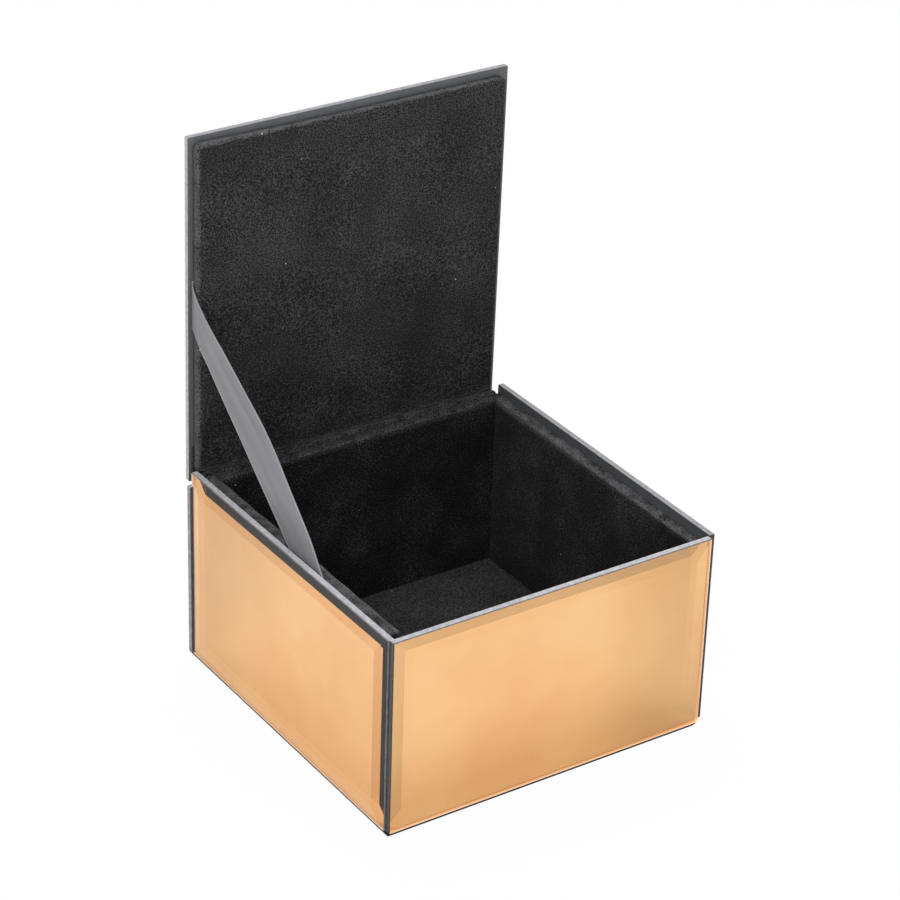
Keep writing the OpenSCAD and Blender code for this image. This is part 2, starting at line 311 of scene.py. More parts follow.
def makeVelvet():
    # Short black pile: light catches single tufts, folds and brushed faces stand open and are
    # paler, painted paler still where light from above and sheen fall, and a little lint clings to
    # it
    material, tree = newMaterial("blackVelvetPile")
    place = addNode(tree, "ShaderNodeTexCoord").outputs["Object"]
    tufts = addNode(tree, "ShaderNodeTexNoise",
                    {"Scale": 1 / pile["tuft"], "Detail": 4.0, "Roughness": 0.75},
                    {"Vector": place})
    patches = addNode(tree, "ShaderNodeTexNoise", {"Scale": 1 / pile["patch"], "Detail": 2.0},
                      {"Vector": place})
    both = addNode(tree, "ShaderNodeMath", {"operation": "MULTIPLY_ADD", 1: 0.25},
                   {0: patches.outputs[0], 2: tufts.outputs[0]})
    colour = addNode(tree, "ShaderNodeValToRGB", links={0: both.outputs[0]})
    steps = colour.color_ramp.elements
    steps.new(pile["laid"][-1][0])
    for step, (position, shade) in zip(steps, pile["laid"]):
        step.position = position
        step.color = linear(shade)
    openTufts = addNode(tree, "ShaderNodeMapRange",
                        {"From Min": 0.4, "From Max": 0.64, "To Min": 0.1, "To Max": 2.3},
                        {"Value": tufts.outputs[0]})
    openAndLit = addNode(tree, "ShaderNodeAttribute", {"attribute_name": "openAndLitPile"}).outputs["Fac"]
    share = addNode(tree, "ShaderNodeMath", {"operation": "MULTIPLY"},
                    {0: openAndLit, 1: openTufts.outputs[0]})
    brushedAndLit = addNode(tree, "ShaderNodeMix",
                      {"data_type": "RGBA", secondColour: linear(pile["open"])},
                      {0: share.outputs[0], firstColour: colour.outputs[0]})
    specks = addNode(tree, "ShaderNodeTexVoronoi", {"Scale": 1 / pile["lintSpacing"]},
                     {"Vector": place})
    speck = addNode(tree, "ShaderNodeMath",
                    {"operation": "LESS_THAN", 1: pile["lint"] / pile["lintSpacing"]},
                    {0: specks.outputs["Distance"]})
    linted = addNode(tree, "ShaderNodeMix",
                     {"data_type": "RGBA", secondColour: linear(pile["lintColour"])},
                     {0: speck.outputs[0], firstColour: brushedAndLit.outputs[mixedColour]})
    bump = addNode(tree, "ShaderNodeBump", {"Strength": 1.0, "Distance": pile["nap"]},
                   {"Height": tufts.outputs[0]})
    addSurface(tree, {"Roughness": 0.95, "Specular IOR Level": 0.1, "Sheen Weight": 0.2,
                      "Sheen Roughness": 0.4, "Sheen Tint": linear("#A8A8A8")},
               {"Base Color": linted.outputs[mixedColour], "Normal": bump.outputs[0]})
    return material


def openAndLitPile(piece, share):
    # Marks how far the pile stands open at each point, with the painted light and sheen that make it
    # paler there
    layer = piece.data.attributes.new("openAndLitPile", "FLOAT", "POINT")
    for vertex in piece.data.vertices:
        layer.data[vertex.index].value = max(0.0, share(vertex.co))


def makeGreyBoard():
    # Recycled book board: grey with short pale and dark fibres
    material, tree = newMaterial("greyBookBoard")
    place = addNode(tree, "ShaderNodeTexCoord").outputs["Object"]
    fibres = addNode(tree, "ShaderNodeTexNoise", {"Scale": 1 / (0.7 * mm), "Detail": 4.0},
                     {"Vector": place})
    colour = addNode(tree, "ShaderNodeValToRGB", links={0: fibres.outputs[0]})
    colour.color_ramp.elements[0].color = linear("#66625B")
    colour.color_ramp.elements[1].color = linear("#8A857C")
    addSurface(tree, {"Roughness": 0.9}, {"Base Color": colour.outputs[0]})
    return material


wool = {"dark": "#0E0D0E", "pale": "#222122", "fibre": 0.9 * mm, "fuzz": 0.2 * mm}


def makeFelt():
    # Thin wool felt: matted fibres with no weave
    material, tree = newMaterial("blackWoolFelt")
    place = addNode(tree, "ShaderNodeTexCoord").outputs["Object"]
    fibres = addNode(tree, "ShaderNodeTexNoise",
                     {"Scale": 1 / wool["fibre"], "Detail": 5.0, "Distortion": 1.5},
                     {"Vector": place})
    colour = addNode(tree, "ShaderNodeValToRGB", links={0: fibres.outputs[0]})
    colour.color_ramp.elements[0].color = linear(wool["dark"])
    colour.color_ramp.elements[1].color = linear(wool["pale"])
    bump = addNode(tree, "ShaderNodeBump", {"Strength": 0.6, "Distance": wool["fuzz"]},
                   {"Height": fibres.outputs[0]})
    addSurface(tree, {"Roughness": 0.95, "Sheen Weight": 0.1},
               {"Base Color": colour.outputs[0], "Normal": bump.outputs[0]})
    return material


satin = {
    "width": 12 * mm, "rib": 0.5 * mm, "relief": 0.05 * mm,
    "selvedge": 0.5 * mm, "picot": 0.55 * mm, "streak": (3.1 * mm, 50 * mm),
    "dark": "#707076", "pale": "#86868C", "stitch": "#BEBEC2",
    # the ribbon is shaded where it comes out of the box, between these lengths from its end
    "shaded": "#3C3C40", "shadedReach": (17 * mm, 42 * mm),
    "bandsPerMetre": 3.2,   # bands that a wave texture of scale 1 has in a metre
}


def makeSatin():
    # Grey polyester satin: fine ribs run across, and each woven edge is a row of pale stitches
    material, tree = newMaterial("greySatinRibbon")
    place = addNode(tree, "ShaderNodeUVMap", {"uv_map": "weave"}).outputs[0]
    parts = addNode(tree, "ShaderNodeSeparateXYZ", links={0: place})
    ribs = addNode(tree, "ShaderNodeTexWave",
                   {"bands_direction": "Y", "Scale": 1 / satin["rib"] / satin["bandsPerMetre"],
                    "Distortion": 0.4}, {"Vector": place})
    streakWidth, streakLength = satin["streak"]
    streaks = addNode(tree, "ShaderNodeMapping",
                      {"Scale": (1 / streakWidth, 1 / streakLength, 1.0)}, {"Vector": place})
    fibre = addNode(tree, "ShaderNodeTexNoise", {"Scale": 1.0, "Detail": 3.0},
                    {"Vector": streaks.outputs[0]})
    colour = addNode(tree, "ShaderNodeValToRGB", links={0: fibre.outputs[0]})
    colour.color_ramp.elements[0].position = 0.25
    colour.color_ramp.elements[0].color = linear(satin["dark"])
    colour.color_ramp.elements[1].position = 0.75
    colour.color_ramp.elements[1].color = linear(satin["pale"])
    near, far = satin["shadedReach"]
    shade = addNode(tree, "ShaderNodeMapRange",
                    {"From Min": near, "From Max": far, "To Min": 0.85, "To Max": 0.0},
                    {"Value": parts.outputs[1]})
    darker = addNode(tree, "ShaderNodeMix",
                     {"data_type": "RGBA", secondColour: linear(satin["shaded"])},
                     {0: shade.outputs[0], firstColour: colour.outputs[0]})
    middle = addNode(tree, "ShaderNodeMath", {"operation": "SUBTRACT", 1: satin["width"] / 2},
                     {0: parts.outputs[0]})
    out = addNode(tree, "ShaderNodeMath", {"operation": "ABSOLUTE"}, {0: middle.outputs[0]})
    edge = addNode(tree, "ShaderNodeMath",
                   {"operation": "GREATER_THAN", 1: satin["width"] / 2 - satin["selvedge"]},
                   {0: out.outputs[0]})
    stitch = addNode(tree, "ShaderNodeTexWave",
                     {"bands_direction": "Y", "Scale": 1 / satin["picot"] / satin["bandsPerMetre"]},
                     {"Vector": place})
    share = addNode(tree, "ShaderNodeMath", {"operation": "MULTIPLY"},
                    {0: edge.outputs[0], 1: stitch.outputs["Fac"]})
    faint = addNode(tree, "ShaderNodeMath", {"operation": "MULTIPLY", 1: 0.6},
                    {0: share.outputs[0]})
    mixed = addNode(tree, "ShaderNodeMix",
                    {"data_type": "RGBA", secondColour: linear(satin["stitch"])},
                    {0: faint.outputs[0], firstColour: darker.outputs[mixedColour]})
    bump = addNode(tree, "ShaderNodeBump", {"Strength": 0.3, "Distance": satin["relief"]},
                   {"Height": ribs.outputs["Fac"]})
    addSurface(tree, {"Roughness": 0.42, "Sheen Weight": 0.15, "Anisotropic": 0.4},
               {"Base Color": mixed.outputs[mixedColour], "Normal": bump.outputs[0]})
    return material


clearGlass = makeClearGlass()
# ground edges: dark and pale grain from outside, colour from inside, and a painted glow for the
# light gathered there; each copy is the same ground edge with the painted light and shade of its own
# faces
warmGrey, warmWhite = "#9A8A80", "#FBE9DB"
groundEdge = makeGroundEdge("groundGlassEdge", "#A3A2A8", "#BFBEC4", warmGrey, paintedGlow=0.12)
arrisEdge = makeGroundEdge("groundGlassArris", "#5E5A5D", "#7C777A", warmGrey, paintedGlow=0.12)
shadedEdge = makeGroundEdge("shadedGlassEdge", "#7E7D83", "#98979D", warmGrey, paintedGlow=0.12)
shadedArris = makeGroundEdge("shadedGlassArris", "#2E2B2D", "#474345", warmGrey, paintedGlow=0.12)
paleEdge = makeGroundEdge("paleGlassEdge", "#7E7579", "#A39A9E", warmWhite, paintedGlow=0.45)
# darker from outside, at the ends that meet the next pane at a corner
darkCornerEdge = makeGroundEdge("darkCornerGlassEdge", "#241E1B", "#3E3835", warmWhite, paintedGlow=0.45)
darkEdge = makeGroundEdge("darkGlassEdge", "#55585B", "#6B6F72", "#6E7072", paintedGlow=0.05)
copperCoat = makeCopperCoat()
mirrorPaint = makeMirrorPaint()
velvet = makeVelvet()
greyBoard = makeGreyBoard()
felt = makeFelt()
ribbonSatin = makeSatin()
print("materials ready")


# Modelling helpers

def startPiece(name, add, **place):
    bpy.ops.object.select_all(action="DESELECT")
    add(**place)
    piece = bpy.context.object
    piece.name = piece.data.name = name
    return piece


def editPiece(piece, kind, chosen, *steps):
    # Selects the faces or edges that a test picks, and runs operators on them
    bpy.ops.object.select_all(action="DESELECT")
    piece.select_set(True)
    bpy.context.view_layer.objects.active = piece
    bpy.ops.object.mode_set(mode="EDIT")
    bpy.ops.mesh.select_mode(type=kind)
    bpy.ops.mesh.select_all(action="DESELECT")
    mesh = bmesh.from_edit_mesh(piece.data)
    mesh.normal_update()
    for item in (mesh.faces if kind == "FACE" else mesh.edges):
        if chosen(item):
            item.select_set(True)
    mesh.select_flush_mode()
    bmesh.update_edit_mesh(piece.data)
    for operator, settings in steps:
        operator(**settings)
    bpy.ops.object.mode_set(mode="OBJECT")


def settle(piece, matrix=None):
    # Puts the piece's place into its mesh
    bpy.context.view_layer.update()
    piece.data.transform((matrix or Matrix.Identity(4)) @ piece.matrix_world)
    piece.matrix_world = Matrix.Identity(4)
    piece.data.update()


def applyModifiers(piece):
    bpy.ops.object.select_all(action="DESELECT")
    piece.select_set(True)
    bpy.context.view_layer.objects.active = piece
    for modifier in list(piece.modifiers):
        bpy.ops.object.modifier_apply(modifier=modifier.name)


def coverWith(piece, material):
    # Gives a soft piece its material and rounds its shading
    piece.data.materials.append(material)
    for face in piece.data.polygons:
        face.use_smooth = True


def turned(angle, axis):
    return Matrix.Rotation(angle, 4, axis)


opening = Matrix.Translation(hingePoint) @ turned(-openAngle, "X") @ Matrix.Translation(-hingePoint)


def shutBox(node):
    # Corners of a node of the lid as it lies when the lid is shut
    points = [opening.inverted() @ v.co for v in frame["nodes"][node].data.vertices]
    return (Vector(min(p[i] for p in points) for i in range(3)),
            Vector(max(p[i] for p in points) for i in range(3)))


# Bevelled mirror glass

glass = {
    "bevel": 6 * mm, "bevelDepth": 1 * mm, "arris": 0.25 * mm, "corner": 0.35 * mm,
    "coatDepth": 0.1 * mm, "coatProud": 0.03 * mm, "coatInset": 0.03 * mm,
    # the edges left, right, low and high, as each pane is seen from outside, each given the copy of
    # the ground edge that paints the light and shade on that face
    "edges": {
        "front_glass": (darkCornerEdge, paleEdge, paleEdge, groundEdge),
        "right_glass": (darkCornerEdge, paleEdge, paleEdge, shadedEdge),
        "back_glass": (paleEdge, paleEdge, paleEdge, groundEdge),
        "left_glass": (paleEdge, darkEdge, paleEdge, groundEdge),
        "lid_glass": (groundEdge, groundEdge, shadedEdge, groundEdge),
    },
}


def isUpright(edge):
    a, b = edge.verts
    return abs(a.co.x - b.co.x) < 1e-7 and abs(a.co.y - b.co.y) < 1e-7


def makeSlab(name, width, length, low, high):
    slab = startPiece(name, bpy.ops.mesh.primitive_cube_add, size=1)
    slab.scale = (width, length, high - low)
    slab.location = (0, 0, (low + high) / 2)
    settle(slab)
    return slab


def makeGlass(name, width, length, thickness, edges):
    # Lies on XY with its mirrored face down, and its bevelled face up
    pane = makeSlab(name, width, length, 0, thickness - glass["bevelDepth"])
    editPiece(pane, "FACE", lambda f: f.normal.z > 0.9,
              (bpy.ops.mesh.inset, {"thickness": glass["bevel"], "depth": glass["bevelDepth"],
                                    "use_even_offset": True, "use_relative_offset": False}))
    editPiece(pane, "EDGE", isUpright,
              (bpy.ops.mesh.bevel, {"offset": glass["corner"], "segments": 4, "affect": "EDGES"}))
    editPiece(pane, "EDGE",
              lambda e: len(e.link_faces) == 2 and min(abs(f.normal.z) for f in e.link_faces) < 0.1
              and max(f.normal.z for f in e.link_faces) > 0.5,
              (bpy.ops.mesh.bevel, {"offset": glass["arris"], "segments": 1, "affect": "EDGES"}))
    # a darker arris, painted shade, beside a shaded edge
    arris = shadedArris if shadedEdge in edges else arrisEdge
    for material in (clearGlass, *edges, arris):
        pane.data.materials.append(material)
    for face in pane.data.polygons:
        x, y, z = face.normal
        if abs(z) < 0.9:   # neither the flat faces nor the bevels
            side = (0 if x < 0 else 1) if abs(x) > abs(y) else (2 if y < 0 else 3)
            onArris = abs(z) > 0.2 and edges[side] in (groundEdge, shadedEdge)
            face.material_index = len(edges) + 1 if onArris else side + 1
    return pane


def makeCoat(name, width, length):
    # The mirror layer: copper towards the glass, paint behind
    inset = glass["coatInset"]
    coat = makeSlab(name, width - 2 * inset, length - 2 * inset,
                    -glass["coatProud"], glass["coatDepth"])
    editPiece(coat, "EDGE", isUpright,
              (bpy.ops.mesh.bevel,
               {"offset": glass["corner"] - inset, "segments": 3, "affect": "EDGES"}))
    coat.data.materials.append(mirrorPaint)
    coat.data.materials.append(copperCoat)
    for face in coat.data.polygons:
        face.material_index = 1 if face.normal.z > 0.9 else 0
    return coat


def addMirror(node, body, width, length, thickness, matrix):
    pane = makeGlass(node + "_pane", width, length, thickness, glass["edges"][node])
    coat = makeCoat(node + "_mirror_coat", width, length)
    for piece in (pane, coat):
        settle(piece, matrix)
        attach(piece, body)
    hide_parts(node)


def addWallMirror(node, turn):
    low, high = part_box(node)
    middle = (low + high) / 2
    size = high - low
    across = turn in (90, -90)
    inner = {0: (middle.x, high.y), 90: (low.x, middle.y), 180: (middle.x, low.y),
             -90: (high.x, middle.y)}[turn]
    place = Matrix.Translation((inner[0], inner[1], middle.z)) @ turned(math.radians(turn), "Z")
    addMirror(node, "box", size.y if across else size.x, size.z, size.x if across else size.y,
              place @ turned(math.radians(90), "X"))


for node, turn in (("front_glass", 0), ("right_glass", 90),
                   ("back_glass", 180), ("left_glass", -90)):
    addWallMirror(node, turn)
low, high = shutBox("lid_glass")
addMirror("lid_glass", "lid", high.x - low.x, high.y - low.y, high.z - low.z,
          opening @ Matrix.Translation(((low.x + high.x) / 2, (low.y + high.y) / 2, low.z)))
print("mirror glass made")


# Velvet, in strips that follow a section

cloth = {
    "cell": 1.6 * mm, "thickness": 0.9 * mm, "ripple": 0.12 * mm, "rippleSize": 9 * mm,
    # the folds over the board's top, and how far the velvet goes down behind the board
    "frontFold": 1.2 * mm, "backFold": 0.5 * mm, "behind": 0.03 * mm,
    "turnedDown": 9.5 * mm, "cutShort": 1.2 * mm,
    # how far the folded top stands above or below its line, left and right as seen from inside
    "crest": {"front_velvet": (0, 0), "right_velvet": (0.5 * mm, -0.4 * mm),
              "back_velvet": (0.2 * mm, 0.2 * mm), "left_velvet": (2.2 * mm, 1.9 * mm)},
    "crestReach": 5 * mm, "crestRipple": 0.3 * mm, "crestRippleSize": 7 * mm,
    # the loose top of the left lining leans in, and the one listed as pressed gets a mesh of its own
    "lean": {"left_velvet": 1.5 * mm}, "leanReach": 9 * mm, "pressed": {"left_velvet": 0.968},
    # how far the pile stands open along the fold and is painted paler by light from above and its
    # sheen, fully in front and by a share behind
    "crestOpenAndLit": {"front_velvet": 0.8, "right_velvet": 1.1, "back_velvet": 0.5, "left_velvet": 1.2},
    "openBelow": 0.6 * mm, "openReach": 0.9 * mm, "openBack": 0.35,
    "openPatchy": 0.6, "openPatch": 3 * mm,
}


def arcPoints(centre, radius, start, end, steps):
    angles = [math.radians(start + (end - start) * i / steps) for i in range(steps + 1)]
    return [(centre[0] + radius * math.cos(a), centre[1] + radius * math.sin(a)) for a in angles]


def alongPath(points, cell):
    # The path again, in even steps no longer than a cell, with its corners kept
    path = [Vector(points[0])]
    for a, b in zip(points, points[1:]):
        a, b = Vector(a), Vector(b)
        steps = max(1, math.ceil((b - a).length / cell))
        path += [a.lerp(b, i / steps) for i in range(1, steps + 1)]
    return path


def makeStrip(name, width, points, cell=cloth["cell"]):
    # A strip of cloth: X across, and its section's points as (Y, Z)
    path = alongPath(points, cell)
    across = max(2, math.ceil(width / cell))
    strip = startPiece(name, bpy.ops.mesh.primitive_grid_add,
                       x_subdivisions=across, y_subdivisions=len(path) - 1, size=1)
    rows = sorted({round(v.co.y, 6) for v in strip.data.vertices})
    rowOf = {y: i for i, y in enumerate(rows)}
    for vertex in strip.data.vertices:
        y, z = path[rowOf[round(vertex.co.y, 6)]]
        vertex.co = Vector((vertex.co.x * width, y, z))
    strip.data.update()
    return strip


def rippleCloth(piece, amount):
    for vertex in piece.data.vertices:
        at = vertex.co / cloth["rippleSize"]
        vertex.co += vertex.normal * amount * noise.noise(at)


def thicken(piece, thickness, offset=-1.0):
    solid = piece.modifiers.new("clothThickness", "SOLIDIFY")
    solid.thickness = thickness
    solid.offset = offset
    solid.use_even_offset = True
    applyModifiers(piece)


def liningSection(deep, top, bottom, turnedDown):
    # From behind the board over its top and down its face, as (Y, Z) from the board's back
    front, back, behind = cloth["frontFold"], cloth["backFold"], cloth["behind"]
    down = top - (cloth["turnedDown"] if turnedDown else cloth["cutShort"])
    return ([(behind, down)] + arcPoints((behind + back, top - back), back, 180, 90, 4)
            + arcPoints((deep - front, top - front), front, 90, 0, 6) + [(deep, bottom)])


def raiseCrest(lining, width, deep, top, rises, leanIn):
    # Lifts the folded top off its line, and leans it in
    left, right = rises
    for vertex in lining.data.vertices:
        x, y, z = vertex.co
        share = max(0, 1 - (top - z) / cloth["crestReach"])
        rise = right + (left - right) * (x / width + 0.5)
        ripple = cloth["crestRipple"] * noise.noise(vertex.co / cloth["crestRippleSize"])
        lean = max(0, 1 - (top - z) / cloth["leanReach"]) ** 2
        vertex.co.z += share * (rise + ripple)
        vertex.co.y += lean * min(1, y / (deep - cloth["frontFold"])) * leanIn


def addLining(node, turn, turnedDown):
    low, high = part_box(node)
    across = turn in (90, -90)
    width = (high.y - low.y) if across else (high.x - low.x)
    deep = (high.x - low.x) if across else (high.y - low.y)
    top = high.z
    reach = {0: -low.y, 180: high.y, 90: high.x, -90: -low.x}[turn]
    left, right = cloth["crest"][node]
    leanIn = cloth["lean"].get(node, 0)
    section = liningSection(deep, top, low.z, turnedDown)
    lining = makeStrip(node + "_cloth", width, section)
    if lining.data.polygons[-1].normal.y < 0:
        lining.data.flip_normals()
    rippleCloth(lining, cloth["ripple"])
    raiseCrest(lining, width, deep, top, (left, right), leanIn)
    thicken(lining, cloth["thickness"])

    # the fold's top is painted paler, most on its inner rounding, for the light from above and the
    # sheen there, over pile that stands open in patches
    def openAndLitShare(p):
        onTop = min(1, max(0, 1 - (top - p.z - cloth["openBelow"]) / cloth["openReach"]))
        facing = cloth["openBack"] + (1 - cloth["openBack"]) * min(1, p.y / (deep + leanIn)) ** 4
        patchy = cloth["openPatchy"] * noise.noise(p / cloth["openPatch"])
        return cloth["crestOpenAndLit"][node] * onTop * (facing + patchy)

    openAndLitPile(lining, openAndLitShare)
    coverWith(lining, velvet)
    settle(lining, turned(math.radians(turn), "Z") @ Matrix.Translation((0, -reach, 0)))
    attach(lining, "box")
    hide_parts(node)
    if node in cloth["pressed"]:
        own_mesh(lining)


for node, turn in (("front_velvet", 0), ("right_velvet", 90),
                   ("back_velvet", 180), ("left_velvet", -90)):
    addLining(node, turn, turnedDown=node != "back_velvet")   # the hinge cloth lies behind that one
print("lining made")


# Floor velvet, laid on the base board between the linings

floorCloth = {
    "thickness": 0.95 * mm, "backing": 0.5 * mm, "edgeRadius": 0.45 * mm, "gap": 0.08 * mm,
    "ripple": 0.1 * mm, "open": 0.35, "openPatchy": 0.2, "openPatch": 15 * mm,
}


def addFloorVelvet():
    low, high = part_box("floor_velvet")
    width, depth = high.x - low.x - 2 * floorCloth["gap"], high.y - low.y - 2 * floorCloth["gap"]
    r = floorCloth["edgeRadius"]
    top = low.z + floorCloth["thickness"]
    section = (arcPoints((-depth / 2 + r, top - r), r, 180, 90, 3)
               + arcPoints((depth / 2 - r, top - r), r, 90, 0, 3))
    laid = makeStrip("floor_velvet_cloth", width, section)
    rippleCloth(laid, floorCloth["ripple"])
    thicken(laid, floorCloth["backing"])
    # the floor's pile is painted paler all over for the light that falls on it from above, and
    # brushed in patches
    openAndLitPile(laid, lambda p: floorCloth["open"]
             + floorCloth["openPatchy"] * noise.noise(p / floorCloth["openPatch"]))
    coverWith(laid, velvet)
    settle(laid)
    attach(laid, "box")
    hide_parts("floor_velvet")


addFloorVelvet()


# Felt under the glass and the base board

feltCut = {
    "grow": 1.4 * mm, "corner": 0.4 * mm, "soften": 0.15 * mm,
    "openCorner": 5 * mm,   # cut round where the front panel ends short of the right corner
}


def addFelt():
    low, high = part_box("base_felt")
    size = high - low + Vector((2, 2, 0)) * feltCut["grow"]
    sheet = makeSlab("base_felt_sheet", size.x, size.y, low.z, high.z)

    def isOpenCorner(edge):
        return isUpright(edge) and edge.verts[0].co.x > 0 > edge.verts[0].co.y

    def isOtherCorner(edge):
        return isUpright(edge) and (edge.verts[0].co.x < 0 or edge.verts[0].co.y > 0)

    editPiece(sheet, "EDGE", isOpenCorner,
              (bpy.ops.mesh.bevel,
               {"offset": feltCut["openCorner"], "segments": 8, "affect": "EDGES"}))
    editPiece(sheet, "EDGE", isOtherCorner,
              (bpy.ops.mesh.bevel, {"offset": feltCut["corner"], "segments": 3, "affect": "EDGES"}))
    editPiece(sheet, "EDGE",
              lambda e: len(e.link_faces) == 2 and max(abs(f.normal.z) for f in e.link_faces) > 0.9,
              (bpy.ops.mesh.bevel, {"offset": feltCut["soften"], "segments": 2, "affect": "EDGES"}))
    sheet.data.materials.append(felt)
    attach(sheet, "box")
    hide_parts("base_felt")


addFelt()


# Cloth hinge: up behind the back lining, over the back panel and onto the lid

hingeCloth = {
    "thickness": 0.5 * mm, "lidLeaf": 11.8 * mm, "cell": 1.2 * mm,
    "behindLining": 0.3 * mm, "underLid": 0.3 * mm, "shortOfEdge": 0.4 * mm, "clearance": 0.02 * mm,
    # the fold stands up over the back panel, and puffs out away from its ends
    "rise": 0.3 * mm, "puff": 0.9 * mm, "puffEnd": 6 * mm, "puffPatchy": 0.4, "puffPatch": 8 * mm,
    "shown": 0.96,   # share of the thickness that is drawn, to keep the layers apart
    "open": 0.27, "openPatchy": 0.3, "openPatch": 4 * mm,
}


def addHinge():
    low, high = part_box("hinge_cloth")
    width = high.x - low.x
    glassLow, glassHigh = shutBox("lid_glass")
    t = hingeCloth["thickness"]
    leafY = low.y + hingeCloth["behindLining"]
    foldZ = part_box("back_glass")[1].z + hingeCloth["rise"]
    leafZ = glassLow.z - hingeCloth["underLid"]
    leafEnd = glassHigh.y - hingeCloth["shortOfEdge"]
    lidLeafEnd = opening @ Vector((0, leafEnd, leafZ))
    lidLeafTop = opening @ Vector((0, leafEnd - hingeCloth["lidLeaf"], leafZ))
    nearY = lidLeafEnd.y - t - hingeCloth["clearance"]
    radius = (nearY - leafY) / 2
    section = ([(leafY, low.z)] + arcPoints((leafY + radius, foldZ), radius, 180, 0, 14)
               + arcPoints((nearY + t / 2, lidLeafEnd.z + t / 2), t / 2, 180, 360, 5)
               + [(lidLeafTop.y, lidLeafTop.z)])
    strip = makeStrip("hinge_cloth_strip", width, section, hingeCloth["cell"])
    for vertex in strip.data.vertices:
        x, y, z = vertex.co
        onFold = max(0, min(1, (z - foldZ) / radius))
        fromEnd = min(1, (width / 2 - abs(x)) / hingeCloth["puffEnd"])
        patchy = 1 + hingeCloth["puffPatchy"] * noise.noise(vertex.co / hingeCloth["puffPatch"])
        vertex.co.z += hingeCloth["puff"] * onFold * fromEnd * patchy
    thicken(strip, t * hingeCloth["shown"], offset=0.0)
    # the hinge cloth is painted paler for the light on its fold over the top, and brushed in patches
    openAndLitPile(strip, lambda p: hingeCloth["open"]
             + hingeCloth["openPatchy"] * noise.noise(p / hingeCloth["openPatch"]))
    coverWith(strip, velvet)
    settle(strip)
    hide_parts("hinge_cloth")
    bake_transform(strip)


addHinge()
print("floor, felt and hinge made")


# Velvet of the lid pad

lidPad = {
    "edge": 1.3 * mm, "corner": 2.2 * mm, "cloth": 1.0 * mm, "cell": 1.5 * mm,
    "rearReach": 0.6 * mm, "frontReach": 0.4 * mm,
    "swell": 0.25 * mm, "swellSize": 22 * mm, "swellMean": 0.3, "swellEdge": 6 * mm,
    "flatWithin": 0.1 * mm,
    "crooked": 0.8 * mm, "crookedReach": 38 * mm,   # the cloth is pulled out at one front corner
    # the pile stands open along the fold, painted paler there with its sheen, a narrower band in
    # front, and a little paler to the front, a painted shade that darkens it towards the hinge
    "fold": 1.4 * mm, "foldEdge": 0.4 * mm, "foldShift": 0.8 * mm, "narrowFront": 2.2,
    "foldOpenAndLit": 0.8, "foldPatchy": 0.6, "foldPatch": 5 * mm,
    "open": 0.08, "litAwayFromHinge": 0.16, "openReach": 70 * mm, "openPatchy": 0.08, "openPatch": 14 * mm,
}


def cutToGrid(pad, low, size):
    # Cuts the large face into a grid, so that it can swell a little
    count = int(size.x / lidPad["cell"])
    for axis in (0, 1):
        for i in range(1, count):
            point = [0, 0, 0]
            normal = [0, 0, 0]
            point[axis] = low[axis] + size[axis] * i / count
            normal[axis] = 1
            editPiece(pad, "FACE", lambda f: True,
                      (bpy.ops.mesh.bisect, {"plane_co": point, "plane_no": normal}))


def swellPad(pad, low, high):
    for vertex in pad.data.vertices:
        x, y, z = vertex.co
        if z < low.z + lidPad["flatWithin"]:   # the large face
            inside = min(x - low.x, high.x - x, y - low.y, high.y - y)
            share = min(1.0, max(0.0, inside / lidPad["swellEdge"]))
            bulge = noise.noise(vertex.co / lidPad["swellSize"]) + lidPad["swellMean"]
            vertex.co.z += lidPad["swell"] * bulge * share
        pull = (max(0, 1 - (x - low.x) / lidPad["crookedReach"])
                * max(0, 1 - (y - low.y) / lidPad["crookedReach"]))
        vertex.co.y -= lidPad["crooked"] * pull


def addLidPad():
    low, high = shutBox("lid_velvet")
    low.y -= lidPad["frontReach"]
    high.y += lidPad["rearReach"]
    size = high - low
    pad = startPiece("lid_pad_velvet", bpy.ops.mesh.primitive_cube_add, size=1)
    pad.scale = size
    pad.location = (low + high) / 2
    settle(pad)
    editPiece(pad, "EDGE", isUpright,
              (bpy.ops.mesh.bevel, {"offset": lidPad["corner"], "segments": 5, "affect": "EDGES"}))
    editPiece(pad, "EDGE",
              lambda e: len(e.link_faces) == 2 and min(f.normal.z for f in e.link_faces) < -0.9
              and max(f.normal.z for f in e.link_faces) > -0.5,
              (bpy.ops.mesh.bevel, {"offset": lidPad["edge"], "segments": 4, "affect": "EDGES"}))
    editPiece(pad, "FACE", lambda f: f.normal.z > 0.9, (bpy.ops.mesh.delete, {"type": "FACE"}))
    cutToGrid(pad, low, size)
    swellPad(pad, low, high)
    thicken(pad, lidPad["cloth"])

    def openAndLitShare(p):
        inside = min(p.x - low.x, high.x - p.x + lidPad["foldShift"],
                     (p.y - low.y) * lidPad["narrowFront"], high.y - p.y)
        fold = max(0, 1 - max(0, inside - lidPad["foldEdge"]) / lidPad["fold"])
        foldPatchy = lidPad["foldPatchy"] * noise.noise(p / lidPad["foldPatch"])
        # painted shade towards the hinge: the pile is darker there and paler away from it
        forward = min(1, (high.y - p.y) / lidPad["openReach"])
        patchy = lidPad["openPatchy"] * noise.noise(p / lidPad["openPatch"])
        brushedAndLit = lidPad["open"] + lidPad["litAwayFromHinge"] * forward + patchy
        return max(brushedAndLit, fold * (lidPad["foldOpenAndLit"] + foldPatchy))

    openAndLitPile(pad, openAndLitShare)
    coverWith(pad, velvet)
    settle(pad, opening)
    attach(pad, "lid")
    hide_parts("lid_velvet")


addLidPad()
print("lid pad made")


# Ribbon stay

